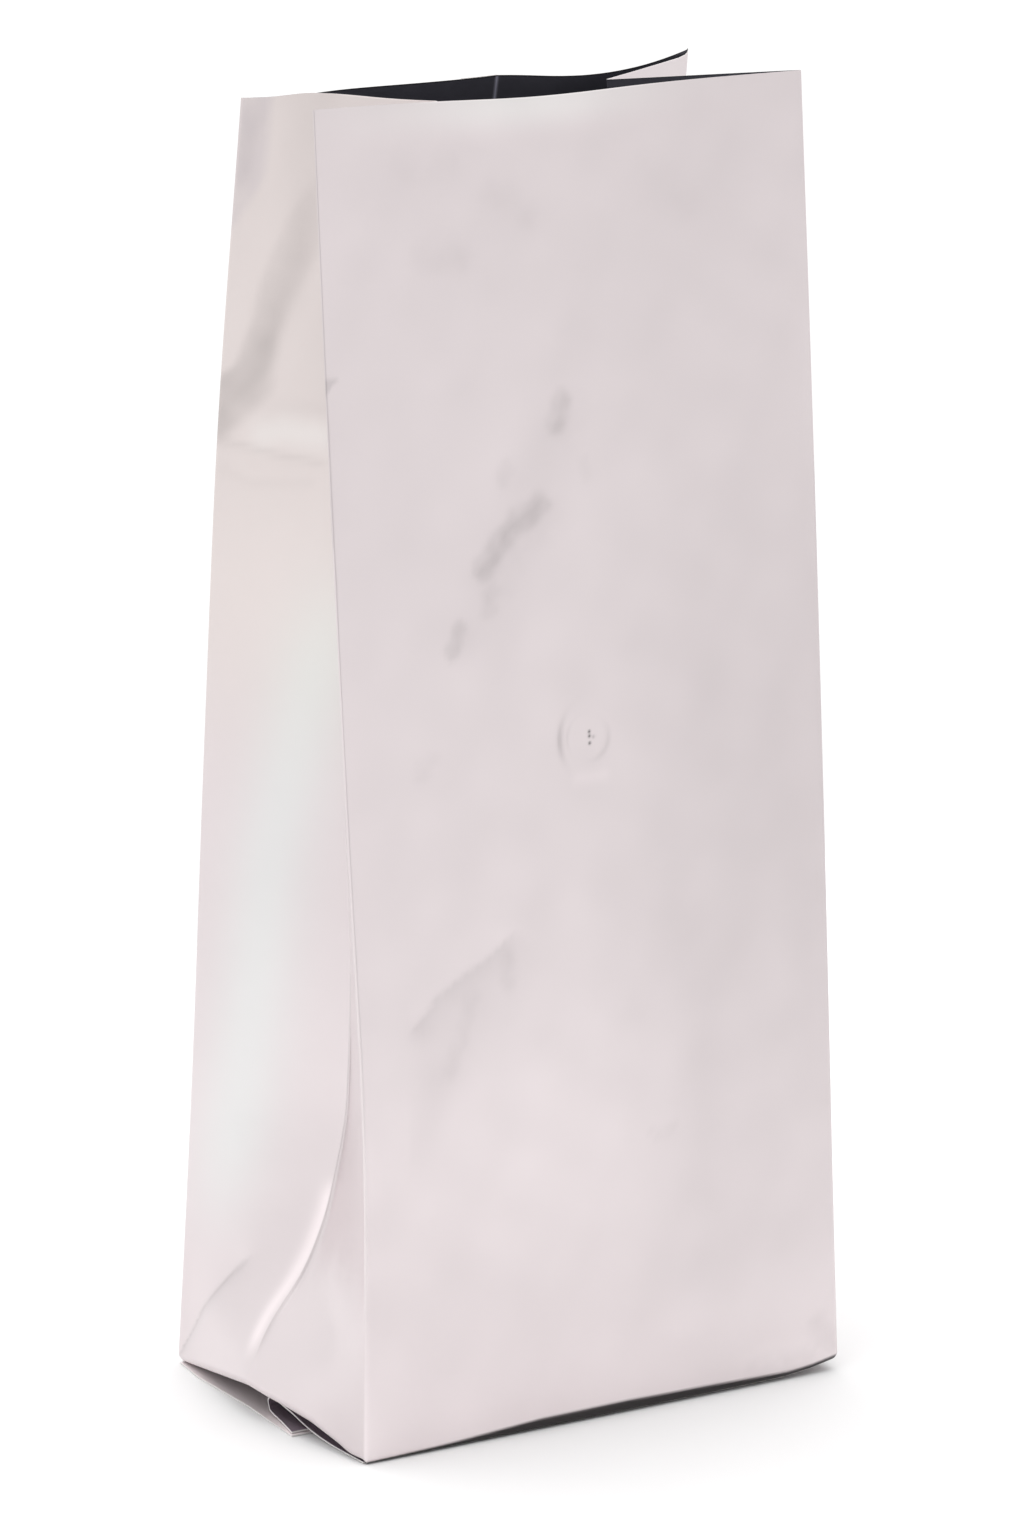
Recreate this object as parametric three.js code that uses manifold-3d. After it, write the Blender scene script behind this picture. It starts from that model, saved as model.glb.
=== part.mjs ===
// A side-gusset coffee bag, empty and standing open.
// It is one film tube with two folded side gussets, a squared bottom with the end seal
// tucked forward under it, a seam fin folded flat on the back, and a one-way valve disc
// welded inside the front panel. Millimetres, +Z up, the front panel faces -Y.
import * as THREE from 'three';
import { mergeVertices } from 'three/addons/utils/BufferGeometryUtils.js';
import Module from 'manifold-3d';

const wasm = await Module();
wasm.setup();

// ---- driving dimensions ----
const WALL = 0.5;                 // stand-in for the 0.13 mm laminate
const LEAF = 0.8;                 // two plies lying flat on each other
const PANEL_WIDTH = 135;          // front and back panels
const BASE_DEPTH = 91;            // squared bottom, front fold to back fold
const SEAL_TUCK = 18;             // how far the folded end seal reaches forward of mid-depth
const BONDED_HALF = 20;           // half of the seal stretch where front and back leaf are one
const SEAM_FIN = 9.5;             // back seam fin, folded flat towards -X
const FIN_LIFT = 0.15;            // extra stand-off of the fin's free edge
const SEAM_AT = 0.5;              // seam position across the back panel
// The front leaf's middle line from the front fold, over its turn at mid-depth, to the tip of
// the tucked seal: y, height where both leaves are one, how much higher it is at the two
// ends, and its share of the front fold's lift.
const LEAF_LINE = [
  [-45.3, 0.4, 0, 1],
  [-30, 0.5, 0, 0.6],
  [-20, 0.9, 0.6, 0],
  [-11, 1.7, 1.7, 0],
  [-4, 2.15, 2.3, 0],
  [-1, 2.2, 2.2, 0],
  [0, 1.8, 1.6, 0],
  [-1, 1.3, 0.8, 0],
  [-3, 1.15, 0.25, 0],
  [-SEAL_TUCK, 1.15, 0.25, 0],
];
const TURN = 6;                   // points of that line up to its turn
// The back leaf's corners on the ground: back left, seal left, seal right, back right.
const BACK_LEAF = [[-66.1, 45.5], [-71.3, -18.5], [70.5, -18.5], [68.9, 45.3]];

const HALF_WIDTH = PANEL_WIDTH / 2;
const HALF_DEPTH = BASE_DEPTH / 2;

// Each corner crease of the bag as it stands: x and y at five equal steps from base to rim,
// and its height at the base fold and at the rim.
const CORNERS = {
  frontLeft: { x: [-67.5, -68.9, -70.0, -70.0, -68.9], y: [-45.6, -47.9, -42.7, -35.7, -27.7], base: 0.9, rim: 313.8 },
  frontRight: { x: [66.8, 65.2, 64.3, 64.2, 65.1], y: [-45.6, -43.3, -39.8, -34.6, -27.3], base: 3.4, rim: 315.1 },
  backRight: { x: [68.9, 68.9, 70.3, 72.1, 73.2], y: [45.4, 46.4, 45.4, 41.4, 32.5], base: 0.7, rim: 314.5 },
  backLeft: { x: [-66.1, -64.4, -62.4, -60.8, -57.9], y: [45.7, 40.2, 36.5, 31.2, 23.9], base: 0.7, rim: 311.0 },
};
// How far the gusset's centre fold lies inside the line between its two corners, square to
// that line, at nine equal steps from base to rim. Negative is outside it.
const FOLD_DEPTH = {
  left: [-6.5, 13.5, 20.0, 20.5, 23.5, 27.5, 31.5, 35.5, 39.5],
  right: [-5.0, 12.0, 17.5, 18.0, 21.0, 25.0, 29.0, 33.0, 36.8],
};
const FOLD_BASE = 8.0;            // height of the centre fold's foot, where the side's edge arches
const FOLD_RIM = 311.5;           // height of the centre fold at the rim
const FRONT_BULGE = 2.0;          // front panel bows out at mid-height
const SEAM_DENT = 11.5;           // back panel bends in at its seam, at the rim
const GUSSET_BULGE = 1.2;         // each gusset half bows out
const BACK_SAG = 2.9;             // the rim dips between the seam and the back right corner
const GUSSET_SAG = 1.8;           // and along the gusset half beside that corner
const CORNER_LIFT = 2.6;          // the front fold rises off the ground at its right end,
const LIFT_LENGTH = 15;           // over this length

const VALVE_HEIGHT = 164;
const VALVE_ACROSS = 0.505;       // position across the front panel, from the left
const VALVE_FLANGE_RADIUS = 9.3;
const VALVE_BODY_RADIUS = 6.4;
const VALVE_FLANGE = 0.9;
const VALVE_THICKNESS = 2.8;
const GAP = 0.3;
const TOLERANCE = 0.01;           // slivers left by the joins are folded away below this

const LEVELS = 24;                // rows of the wall, base to rim
const PANEL_STEPS = 12;           // columns across a panel
const GUSSET_STEPS = 4;           // columns across half a gusset
const FLOOR_COLUMNS = 26;
const FLOOR_ROWS = 14;
const LEAF_SECTIONS = 20;

// ---- small mathematics ----
const lerp = THREE.MathUtils.lerp;
const clamp = THREE.MathUtils.clamp;
const smooth = (t) => THREE.MathUtils.smoothstep(t, 0, 1);

// A smooth line through equally spaced values, read at t from 0 to 1.
function through(values, t) {
  const last = values.length - 1;
  const at = clamp(t, 0, 1) * last;
  const i = Math.min(Math.floor(at), last - 1);
  const f = at - i;
  const before = i > 0 ? values[i - 1] : 2 * values[0] - values[1];
  const after = i + 2 <= last ? values[i + 2] : 2 * values[last] - values[last - 1];
  const [a, b] = [values[i], values[i + 1]];
  return a + 0.5 * f * (b - before + f * (2 * before - 5 * a + 4 * b - after
    + f * (3 * (a - b) + after - before)));
}

function corner(name, t) {
  const c = CORNERS[name];
  return new THREE.Vector3(through(c.x, t), through(c.y, t), lerp(c.base, c.rim, t));
}

function centreFold(side, t) {
  const [front, back] = side === 'left' ? ['frontLeft', 'backLeft'] : ['frontRight', 'backRight'];
  const [a, b] = [corner(front, t), corner(back, t)];
  const inward = new THREE.Vector3(b.y - a.y, a.x - b.x, 0).normalize()
    .multiplyScalar(side === 'left' ? 1 : -1);
  const middle = a.lerp(b, 0.5).addScaledVector(inward, through(FOLD_DEPTH[side], t));
  middle.z = lerp(FOLD_BASE, FOLD_RIM, t);
  return middle;
}

// Points from a towards b, without b itself, bowed sideways by bow(fraction)
// and lowered by sag(fraction).
function edge(a, b, steps, bow, sag = () => 0) {
  const along = b.clone().sub(a);
  const out = new THREE.Vector3(along.y, -along.x, 0).normalize();
  return Array.from({ length: steps }, (_, k) => {
    const f = k / steps;
    const point = a.clone().addScaledVector(along, f).addScaledVector(out, bow(f));
    point.z -= sag(f);
    return point;
  });
}

// How far the front fold is off the ground at x.
const foldLift = (x) => CORNER_LIFT * smooth((x - HALF_WIDTH) / LIFT_LENGTH + 1);
const arc = (f) => 4 * f * (1 - f);
const tent = (f) => 1 - Math.abs(f - SEAM_AT) / 0.5;

// The film's middle line round the bag at height fraction t, anticlockwise from above.
function loop(t) {
  const fl = corner('frontLeft', t);
  const fr = corner('frontRight', t);
  const br = corner('backRight', t);
  const bl = corner('backLeft', t);
  const cr = centreFold('right', t);
  const cl = centreFold('left', t);
  const front = (f) => FRONT_BULGE * Math.sin(Math.PI * t) * arc(f);
  const frontDip = (f) => (1 - t) ** 8 * (lerp(fl.z, fr.z, f) - fl.z - foldLift(lerp(fl.x, fr.x, f)));
  const back = (f) => -SEAM_DENT * t * t * tent(f);
  const half = (f) => GUSSET_BULGE * Math.sin(Math.PI * t) * arc(f);
  const backSag = (f) => (f < SEAM_AT ? BACK_SAG * t ** 6 * Math.sin(Math.PI * (f / SEAM_AT) ** 0.8) : 0);
  const gussetSag = (f) => GUSSET_SAG * t ** 6 * f * (1 - f ** 6);
  return [
    ...edge(fl, fr, PANEL_STEPS, front, frontDip),
    ...edge(fr, cr, GUSSET_STEPS, half),
    ...edge(cr, br, GUSSET_STEPS, half, gussetSag),
    ...edge(br, bl, PANEL_STEPS, back, backSag),
    ...edge(bl, cl, GUSSET_STEPS, half),
    ...edge(cl, fl, GUSSET_STEPS, half),
  ];
}

// Shift a closed loop outwards by a distance. The miter grows on the inside of a bend
// and is held short on its outside, so sharp creases stay thin.
function offsetLoop(points, distance) {
  const count = points.length;
  return points.map((point, k) => {
    const previous = points[(k + count - 1) % count];
    const next = points[(k + 1) % count];
    const incoming = new THREE.Vector2(point.x - previous.x, point.y - previous.y).normalize();
    const outgoing = new THREE.Vector2(next.x - point.x, next.y - point.y).normalize();
    const turn = incoming.cross(outgoing);
    const normal = new THREE.Vector2(incoming.y + outgoing.y, -incoming.x - outgoing.x).normalize();
    const cosHalf = Math.max(normal.x * incoming.y - normal.y * incoming.x, 0.18);
    const outside = turn * distance > 0;
    const length = outside ? Math.min(1 / cosHalf, 1.3) : 1 / cosHalf;
    return new THREE.Vector3(point.x + normal.x * distance * length,
      point.y + normal.y * distance * length, point.z);
  });
}

// ---- closed solids ----
function solid(points, triangles) {
  const mesh = new wasm.Mesh({
    numProp: 3,
    vertProperties: new Float32Array(points.flatMap((p) => [p.x, p.y, p.z])),
    triVerts: new Uint32Array(triangles.flat()),
  });
  return new wasm.Manifold(mesh);
}

// Two triangles between two neighbouring rows of vertex numbers.
function quad(a, b, c, d) {
  return [[a, b, c], [a, c, d]];
}

// The tube wall: outer and inner skins from base to rim, joined at both ends.
function tubeWall() {
  const rows = [];
  for (let k = 0; k <= LEVELS; k += 1) {
    rows.push(offsetLoop(loop(k / LEVELS), WALL / 2));
  }
  for (let k = LEVELS; k >= 0; k -= 1) {
    rows.push(offsetLoop(loop(k / LEVELS), -WALL / 2));
  }
  return ringOfRows(rows);
}

// A solid whose surface is closed both along each row and from the last row to the first.
function ringOfRows(rows) {
  const count = rows[0].length;
  const triangles = [];
  rows.forEach((row, r) => {
    const up = (r + 1) % rows.length;
    row.forEach((_, k) => {
      const next = (k + 1) % count;
      triangles.push(...quad(r * count + k, r * count + next, up * count + next, up * count + k));
    });
  });
  return solid(rows.flat(), triangles);
}

// A solid lofted through equal closed outlines, with flat fans on its two ends.
function loft(outlines) {
  const count = outlines[0].length;
  const triangles = [];
  for (let r = 0; r + 1 < outlines.length; r += 1) {
    for (let k = 0; k < count; k += 1) {
      const next = (k + 1) % count;
      triangles.push(...quad(r * count + k, r * count + next, (r + 1) * count + next, (r + 1) * count + k));
    }
  }
  // each outline runs out along one face of a strip and back along the other
  const end = (outlines.length - 1) * count;
  for (let k = 0; k + 1 < count / 2; k += 1) {
    const mate = count - 1 - k;
    triangles.push(...quad(k, mate, mate - 1, k + 1));
    triangles.push(...quad(end + k, end + k + 1, end + mate - 1, end + mate));
  }
  return solid(outlines.flat(), triangles);
}

// The outline of a strip: a middle line given a thickness, in the plane at x.
function stripOutline(x, middle, thickness) {
  const sideways = middle.map((point, k) => {
    const before = middle[Math.max(k - 1, 0)];
    const after = middle[Math.min(k + 1, middle.length - 1)];
    return new THREE.Vector2(before.y - after.y, after.x - before.x).normalize()
      .multiplyScalar(thickness / 2);
  });
  const face = (sign) => middle.map((point, k) => new THREE.Vector3(x,
    point.x + sign * sideways[k].x, point.y + sign * sideways[k].y));
  return [...face(-1), ...face(1).reverse()];
}

// ---- the squared bottom ----
// How far the leaves have parted at x: none in the bonded middle, all at the two ends.
const parted = (x) => smooth((Math.abs(x) - BONDED_HALF) / (HALF_WIDTH - BONDED_HALF));

// The front half of the bottom: back from the front fold, over the turn at mid-depth,
// then forward again as the tucked end seal. Each point is (y, z).
function frontLeafLine(x) {
  const open = parted(x);
  return LEAF_LINE.map(([y, low, rise, lift]) => (
    new THREE.Vector2(y, low + rise * open + lift * foldLift(x))));
}

function frontLeaf() {
  const outlines = [];
  for (let k = 0; k <= LEAF_SECTIONS; k += 1) {
    const f = k / LEAF_SECTIONS;
    const x = lerp(-HALF_WIDTH, HALF_WIDTH - 0.8, f);
    outlines.push(stripOutline(x, frontLeafLine(x), LEAF));
  }
  return loft(outlines);
}

// The back half of the bottom with its part of the seal, flat on the ground.
function backLeaf() {
  const shape = new THREE.Shape(BACK_LEAF.map(([x, y]) => new THREE.Vector2(x, y)));
  return fromGeometry(new THREE.ExtrudeGeometry(shape, { depth: LEAF, bevelEnabled: false }));
}

function fromGeometry(geometry) {
  geometry.deleteAttribute('normal');
  geometry.deleteAttribute('uv');
  const merged = mergeVertices(geometry);
  const points = [];
  for (let k = 0; k < merged.attributes.position.count; k += 1) {
    points.push(new THREE.Vector3().fromBufferAttribute(merged.attributes.position, k));
  }
  const triangles = [];
  for (let k = 0; k < merged.index.count; k += 3) {
    triangles.push([merged.index.getX(k), merged.index.getX(k + 1), merged.index.getX(k + 2)]);
  }
  return solid(points, triangles);
}

// Height of the floor's underside. It follows the leaves inside the two diagonals of
// each end and climbs from the diagonals to the arched edge of the side.
function floorHeight(x, y, sideHeight, toSide) {
  const bedded = y < 0 ? frontBed(x, y) : LEAF - 0.1;
  const diagonal = Math.max(HALF_DEPTH - Math.abs(y), 0.001);
  return lerp(bedded, sideHeight, clamp(1 - toSide / diagonal, 0, 1));
}

// The front leaf's middle line read as a height at (x, y).
function frontBed(x, y) {
  const line = frontLeafLine(x).slice(0, TURN);
  const k = clamp(line.findIndex((point) => point.x > y), 1, line.length - 1);
  const [a, b] = [line[k - 1], line[k]];
  return lerp(a.y, b.y, clamp((y - a.x) / (b.x - a.x), 0, 1)) + 0.1;
}

function sidePoint(side, f) {
  const [front, back] = side === 'left' ? ['frontLeft', 'backLeft'] : ['frontRight', 'backRight'];
  const [a, b, c] = [corner(front, 0), centreFold(side, 0), corner(back, 0)];
  return f < 0.5 ? a.lerp(b, 2 * f) : b.lerp(c, 2 * f - 1);
}

// The floor inside the bag: one ply across the squared bottom.
function floorSheet() {
  const under = [];
  for (let r = 0; r <= FLOOR_ROWS; r += 1) {
    const left = sidePoint('left', r / FLOOR_ROWS);
    const right = sidePoint('right', r / FLOOR_ROWS);
    for (let k = 0; k <= FLOOR_COLUMNS; k += 1) {
      const f = k / FLOOR_COLUMNS;
      const point = left.clone().lerp(right, f);
      const nearLeft = f < 0.5;
      const toSide = nearLeft ? point.x - left.x : right.x - point.x;
      point.z = floorHeight(point.x, point.y, nearLeft ? left.z : right.z, toSide);
      under.push(point);
    }
  }
  return thickened(under, FLOOR_COLUMNS + 1, FLOOR_ROWS + 1, WALL);
}

// A closed sheet from a grid of points on its underside, thick straight up.
function thickened(under, columns, rows, thickness) {
  const over = under.map((p) => new THREE.Vector3(p.x, p.y, p.z + thickness));
  const up = under.length;
  const triangles = [];
  for (let r = 0; r + 1 < rows; r += 1) {
    for (let k = 0; k + 1 < columns; k += 1) {
      const a = r * columns + k;
      const [b, c, d] = [a + 1, a + columns + 1, a + columns];
      triangles.push(...quad(d, c, b, a), ...quad(up + a, up + b, up + c, up + d));
    }
  }
  const rim = [];
  for (let k = 0; k + 1 < columns; k += 1) rim.push(k);
  for (let r = 0; r + 1 < rows; r += 1) rim.push(r * columns + columns - 1);
  for (let k = columns - 1; k > 0; k -= 1) rim.push((rows - 1) * columns + k);
  for (let r = rows - 1; r > 0; r -= 1) rim.push(r * columns);
  rim.forEach((a, k) => {
    const b = rim[(k + 1) % rim.length];
    triangles.push(...quad(a, b, up + b, up + a));
  });
  return solid([...under, ...over], triangles);
}

// The fin of the back seam, two plies folded flat against the back panel.
function seamFin() {
  const outlines = [];
  for (let k = 0; k <= LEVELS; k += 1) {
    const t = lerp(0.004, 1, k / LEVELS);
    const points = loop(t);
    const start = PANEL_STEPS + 2 * GUSSET_STEPS;
    const seam = points[start + PANEL_STEPS * SEAM_AT];
    const left = points[start + PANEL_STEPS * SEAM_AT + 1];
    const along = left.clone().sub(seam).normalize();
    const out = new THREE.Vector3(along.y, -along.x, 0);
    const near = WALL / 2 - 0.1;
    const far = WALL / 2 + LEAF;
    const free = seam.clone().addScaledVector(along, SEAM_FIN);
    outlines.push([
      seam.clone().addScaledVector(out, far),
      free.clone().addScaledVector(out, far + FIN_LIFT),
      free.clone().addScaledVector(out, near + FIN_LIFT),
      seam.clone().addScaledVector(out, near),
    ]);
  }
  return loft(outlines);
}

// ---- the two pieces ----
function geometryOf(manifold) {
  const mesh = manifold.getMesh();
  const geometry = new THREE.BufferGeometry();
  geometry.setAttribute('position', new THREE.BufferAttribute(new Float32Array(mesh.vertProperties), 3));
  geometry.setIndex(new THREE.BufferAttribute(new Uint32Array(mesh.triVerts), 1));
  geometry.computeVertexNormals();
  return geometry;
}

// Joining the plies seals small hollows between them. Keeping the outer skin fills them.
function outerSkin(body) {
  return body.decompose().reduce((best, skin) => (skin.volume() > best.volume() ? skin : best));
}

function film() {
  const plies = [tubeWall(), floorSheet(), frontLeaf(), backLeaf(), seamFin()];
  const body = outerSkin(wasm.Manifold.union(plies).simplify(TOLERANCE));
  const mesh = new THREE.Mesh(geometryOf(body), new THREE.MeshStandardMaterial({
    color: 0xdfd3d4, roughness: 0.35, metalness: 0.5,
  }));
  mesh.name = 'film';
  return mesh;
}

// A flanged disc, its flange towards the film.
function valve() {
  const profile = [
    [0, 0], [VALVE_FLANGE_RADIUS, 0], [VALVE_FLANGE_RADIUS, VALVE_FLANGE - 0.3],
    [VALVE_FLANGE_RADIUS - 0.3, VALVE_FLANGE], [VALVE_BODY_RADIUS, VALVE_FLANGE],
    [VALVE_BODY_RADIUS, VALVE_THICKNESS - 0.4], [VALVE_BODY_RADIUS - 0.4, VALVE_THICKNESS],
    [0, VALVE_THICKNESS],
  ].map(([radius, height]) => new THREE.Vector2(radius, height));
  const mesh = new THREE.Mesh(new THREE.LatheGeometry(profile, 40), new THREE.MeshStandardMaterial({
    color: 0xe9e7e2, roughness: 0.5, metalness: 0,
  }));
  mesh.name = 'valve';
  const t = VALVE_HEIGHT / CORNERS.frontLeft.rim;
  const middle = frontPoint(VALVE_ACROSS, t);
  const up = frontPoint(VALVE_ACROSS, t + 0.02).sub(frontPoint(VALVE_ACROSS, t - 0.02)).normalize();
  const right = frontPoint(VALVE_ACROSS + 0.03, t).sub(frontPoint(VALVE_ACROSS - 0.03, t)).normalize();
  const inward = up.clone().cross(right).normalize();
  mesh.quaternion.setFromUnitVectors(new THREE.Vector3(0, 1, 0), inward);
  mesh.position.copy(middle).addScaledVector(inward, WALL / 2 + GAP + 0.05);
  return mesh;
}

function frontPoint(f, t) {
  const point = corner('frontLeft', t).lerp(corner('frontRight', t), f);
  point.y -= FRONT_BULGE * Math.sin(Math.PI * t) * arc(f);
  return point;
}

const bag = new THREE.Group();
bag.add(film(), valve());

// Stand the bag over the origin, centred on its bounding box.
const box = new THREE.Box3().setFromObject(bag);
const middle = box.getCenter(new THREE.Vector3());
bag.position.set(-middle.x, -middle.y, -box.min.z);

export default bag;
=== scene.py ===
"""A side-gusset coffee bag of pearl film, empty and standing open, with its stage.

The sizes below are millimetres in the frame of the solids: +Z up, front panel towards -Y.
"""
import math

import bpy
import numpy as np
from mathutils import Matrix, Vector


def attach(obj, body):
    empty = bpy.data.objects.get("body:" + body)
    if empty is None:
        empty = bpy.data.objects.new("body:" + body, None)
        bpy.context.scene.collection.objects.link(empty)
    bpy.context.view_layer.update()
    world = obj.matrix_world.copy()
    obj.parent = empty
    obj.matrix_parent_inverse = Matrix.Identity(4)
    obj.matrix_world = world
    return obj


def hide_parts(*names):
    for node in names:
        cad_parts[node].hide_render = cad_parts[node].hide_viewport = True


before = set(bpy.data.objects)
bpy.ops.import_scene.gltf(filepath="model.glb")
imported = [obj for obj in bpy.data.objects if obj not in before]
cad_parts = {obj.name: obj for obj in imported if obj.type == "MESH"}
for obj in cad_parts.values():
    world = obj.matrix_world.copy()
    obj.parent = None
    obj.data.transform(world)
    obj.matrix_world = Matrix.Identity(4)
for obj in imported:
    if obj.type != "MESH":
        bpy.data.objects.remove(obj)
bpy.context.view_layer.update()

bl_info = {
    "name": "Coffee Bag",
    "version": (1, 0, 0),
    "blender": (4, 5, 0),
    "location": "3D View > Sidebar > Coffee Bag",
    "description": "Builds an open side-gusset coffee bag of pearl film and its studio stage",
    "category": "Object",
}

MM = 0.001

# ---- the bag's driving dimensions ----
PANEL_WIDTH = 135.0
GUSSET_HALF = 47.5
BASE_DEPTH = 91.0
FILM_HEIGHT = 313.0              # from the bottom fold to the rim, along the film
SEAL_TUCK = 18.0                 # how far the folded end seal reaches forward of mid-depth
BONDED_HALF = 20.0               # half of the seal stretch where both leaves are one
SEAM_FIN = 9.5
HALF_WIDTH = PANEL_WIDTH / 2
HALF_DEPTH = BASE_DEPTH / 2
CENTRE_SHIFT = np.array([0.03, 0.75, 0.0])   # centres the bag on its bounding box

# Corner creases: x and y at five equal steps from base to rim, and height at both ends.
CORNERS = {
    "front_left": ([-67.5, -68.9, -70.0, -70.0, -68.9], [-45.6, -47.9, -42.7, -35.7, -27.7], 0.3, 313.8),
    "front_right": ([66.8, 65.2, 64.3, 64.2, 65.1], [-45.6, -43.3, -39.8, -34.6, -27.3], 2.9, 315.1),
    "back_right": ([68.9, 68.9, 70.3, 72.1, 73.2], [45.4, 46.4, 45.4, 41.4, 32.5], 0.7, 314.5),
    "back_left": ([-66.1, -64.4, -62.4, -60.8, -57.9], [45.7, 40.2, 36.5, 31.2, 23.9], 0.7, 311.0),
}
# How far each gusset's centre fold lies inside the line between its corners.
FOLD_DEPTH = {
    "left": [-6.8, -0.3, 9.0, 14.6, 17.6, 19.8, 20.3, 20.4, 20.4, 20.5, 21.2, 22.3, 23.5,
             24.8, 26.2, 27.5, 28.8, 30.2, 31.5, 32.8, 34.2, 35.5, 36.8, 38.2, 39.5],
    "right": [-5.0, 12.0, 17.5, 18.0, 21.0, 25.0, 29.0, 33.0, 36.8],
}
FOLD_BASE = 8.0
FOLD_RIM = 311.5
FRONT_BULGE = 2.0
SEAM_DENT = 11.5
GUSSET_BULGE = 1.2
BACK_SAG = 2.9
GUSSET_SAG = 1.75
FRONT_SAG = 1.1                  # the front rim dips in its middle
RIM_PEAK = 1.45                  # the left back half's rim peaks where it passes the front corner
# How far the front fold is off the ground, from its left end to its right end.
LIFT_AT = [-67.5, 30.0, 52.0, 60.0, 67.5]
FOLD_LIFT = [0.0, 0.15, 0.35, 1.2, 2.6]
# How far up from that fold the film stays in its shade, and where along the fold.
SHADE_AT = [0.0, 7.5, 23.5, 48.5, 73.5, 98.5, 123.5, 135.0]
FOLD_SHADE = [0.2, 0.5, 1.1, 2.6, 2.7, 2.2, 1.3, 1.3]

VALVE_UP = 163.9                 # along the film
VALVE_ACROSS = 66.4
VALVE_RING = 8.7                 # radius of the flange under the film
VALVE_BODY = 6.1
PINHOLES = (1.35, 0.3, -1.35)    # up from the valve's centre

FRONT, RIGHT_FRONT, RIGHT_BACK, BACK, LEFT_BACK, LEFT_FRONT = range(6)
EDGE_ENDS = [
    ("front_left", "front_right"), ("front_right", "fold_right"), ("fold_right", "back_right"),
    ("back_right", "back_left"), ("back_left", "fold_left"), ("fold_left", "front_left"),
]
EDGE_WIDTHS = [PANEL_WIDTH, GUSSET_HALF, GUSSET_HALF, PANEL_WIDTH, GUSSET_HALF, GUSSET_HALF]


# ---- small mathematics ----
def smooth(value):
    """Smoothstep of value clamped to 0..1: 3v^2 - 2v^3."""
    v = np.clip(value, 0.0, 1.0)
    return v * v * (3 - 2 * v)


def bump(distance, width):
    """A round hill of height 1: exp(-(distance / width)^2)."""
    return np.exp(-(distance / width) ** 2)


def ramp(distance, radius):
    """0 before -radius, distance after +radius, and a parabola between the two."""
    middle = (distance + radius) ** 2 / (4 * radius)
    return np.where(distance <= -radius, 0.0, np.where(distance >= radius, distance, middle))


def through(values, t):
    """Catmull-Rom line through equally spaced values, read at t from 0 to 1."""
    padded = np.concatenate([[2 * values[0] - values[1]], values, [2 * values[-1] - values[-2]]])
    at = np.clip(t, 0, 1) * (len(values) - 1)
    i = np.minimum(at.astype(int), len(values) - 2)
    f = at - i
    before, a, b, after = (padded[i + k] for k in range(4))
    return a + 0.5 * f * (b - before + f * (2 * before - 5 * a + 4 * b - after
                          + f * (3 * (a - b) + after - before)))


def unit(vectors):
    length = np.linalg.norm(vectors, axis=-1, keepdims=True)
    return vectors / np.maximum(length, 1e-9)


def crease(name, t):
    """A crease of the bag as points (x, y, z), one for each height fraction t."""
    if name.startswith("fold"):
        side = name.split("_")[1]
        front, back = crease("front_" + side, t), crease("back_" + side, t)
        middle = (front + back) / 2
        span = unit((back - front) * [1, 1, 0])
        inward = 1 if side == "left" else -1
        depth = inward * through(FOLD_DEPTH[side], t)
        middle[..., 0] += depth * span[..., 1]
        middle[..., 1] -= depth * span[..., 0]
        middle[..., 2] = FOLD_BASE + (FOLD_RIM - FOLD_BASE) * t
        return middle
    xs, ys, base, rim = CORNERS[name]
    return np.stack([through(xs, t), through(ys, t), base + (rim - base) * t], axis=-1)


def fold_lift(x):
    """Height of the front fold off the ground: nothing at its left end, most at its right."""
    return np.interp(x, LIFT_AT, FOLD_LIFT)


# ---- the film as a surface ----
CREASE_RADIUS = 0.9
CREASE_COLUMNS = [0.0, 0.35, 0.7, 1.1]


def column_places(width, step, dense=()):
    """Places across a panel: fine beside both creases, else step apart, finer in dense spans."""
    inner = np.linspace(2.0, width - 2.0, int(round((width - 4.0) / step)) + 1)
    places = list(inner)
    for low, high, fine in dense:
        places = [p for p in places if p < low or p > high]
        places += list(np.linspace(low, high, int(round((high - low) / fine)) + 1))
    places += CREASE_COLUMNS + [width - p for p in CREASE_COLUMNS[1:]]
    return np.array(sorted(places))


def bow(edge, f, t):
    """How far a panel bows outwards between its creases: a parabola, or the back's bend."""
    arc = 4 * f * (1 - f)
    swell = np.sin(math.pi * t)
    if edge == FRONT:
        return FRONT_BULGE * swell * arc
    if edge == BACK:
        tent = np.sqrt((2 * np.abs(f - 0.5)) ** 2 + 0.002)
        return -SEAM_DENT * t ** 2 * (1 - tent)
    return GUSSET_BULGE * swell * arc


def foot_arch(f):
    """Rise of the left front half's foot above the line between its ends, f from fold to corner."""
    return np.interp(f, [0.0, 0.17, 0.32, 0.54, 0.77, 0.86, 0.96, 1.0],
                     [0.0, 0.35, 0.95, 1.45, 0.75, 0.1, 0.7, 0.0])


def sag(edge, f, t):
    """How far the film hangs below the line between its creases' heights."""
    if edge == FRONT:
        x = HALF_WIDTH * (2 * f - 1)
        straight = CORNERS["front_right"][2] - CORNERS["front_left"][2]
        foot = (1 - t) ** 8 * (straight * f - fold_lift(x))
        return foot + FRONT_SAG * t ** 8 * bump(f - 0.45, 0.2)
    if edge == BACK:
        half = np.clip(f / 0.5, 0, 1)
        low = BACK_SAG * np.sin(math.pi * half ** 0.8) * (f < 0.5)
        return t ** 6 * (low - 0.4 * bump(f - 0.45, 0.1) + 0.6 * bump(f - 0.9, 0.07))
    if edge == RIGHT_BACK:
        return GUSSET_SAG * t ** 6 * f * (1 - f ** 36)
    if edge == LEFT_BACK:
        return -RIM_PEAK * t ** 10 * bump(f - 0.38, np.where(f < 0.38, 0.19, 0.33))
    if edge == LEFT_FRONT:
        return 1.3 * t ** 12 * 4 * f * (1 - f) - foot_arch(f) * (1 - t) ** 8
    return 0.0 * f


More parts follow.
